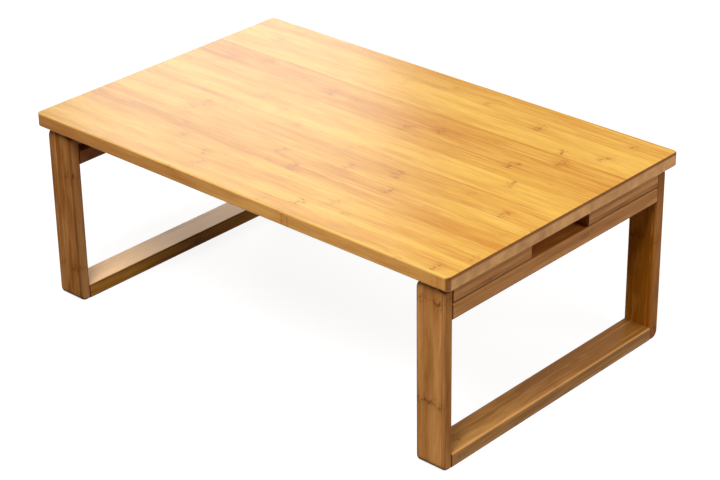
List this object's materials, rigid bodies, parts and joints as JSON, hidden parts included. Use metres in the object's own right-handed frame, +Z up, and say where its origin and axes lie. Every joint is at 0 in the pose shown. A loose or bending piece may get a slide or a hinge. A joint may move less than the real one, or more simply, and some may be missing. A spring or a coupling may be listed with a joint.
{
  "type": "low table",
  "caption": "Low bamboo table: glued plank top, end cleats with hand slots, and closed leg frames that fold inwards on pivot pins to lie flat under the top.",
  "frame": {"origin": "on the floor, under the middle of the top, with the leg frames standing", "axes": "+X along the top's length towards the right leg frame, +Y towards the rear long side, +Z up"},
  "size_m": [0.8, 0.505, 0.303],
  "materials": {
    "bamboo_top": "clear satin lacquer over honey-coloured bamboo",
    "bamboo_frame": "clear satin lacquer over caramel-coloured bamboo",
    "dowel_wood": "plain turned hardwood",
    "steel": "zinc-plated steel",
    "nylon": "natural nylon"
  },
  "bodies": {
    "top": {"top_board_1": "bamboo_top", "top_board_2": "bamboo_top", "top_board_3": "bamboo_top", "top_board_4": "bamboo_top", "top_board_5": "bamboo_top", "top_board_6": "bamboo_top", "top_board_7": "bamboo_top", "end_cleat_left": "bamboo_frame", "cleat_screws_left": "steel", "pivot_pins_left": "steel", "pivot_washers_left": "nylon", "end_cleat_right": "bamboo_frame", "cleat_screws_right": "steel", "pivot_pins_right": "steel", "pivot_washers_right": "nylon"},
    "leg_frame_left": {"leg_left_front": "bamboo_frame", "leg_left_rear": "bamboo_frame", "top_rail_left": "bamboo_frame", "bottom_rail_left": "bamboo_frame", "frame_dowels_left": "dowel_wood"},
    "leg_frame_right": {"leg_right_front": "bamboo_frame", "leg_right_rear": "bamboo_frame", "top_rail_right": "bamboo_frame", "bottom_rail_right": "bamboo_frame", "frame_dowels_right": "dowel_wood"}
  },
  "joints": [
    {"name": "fold_left", "type": "hinge", "parent": "top", "child": "leg_frame_left", "pos_m": [-0.353, 0, 0.2665], "axis": [0, -1, 0], "range_deg": [0, 90]},
    {"name": "fold_right", "type": "hinge", "parent": "top", "child": "leg_frame_right", "pos_m": [0.353, 0, 0.2665], "axis": [0, 1, 0], "range_deg": [0, 90]}
  ]
}
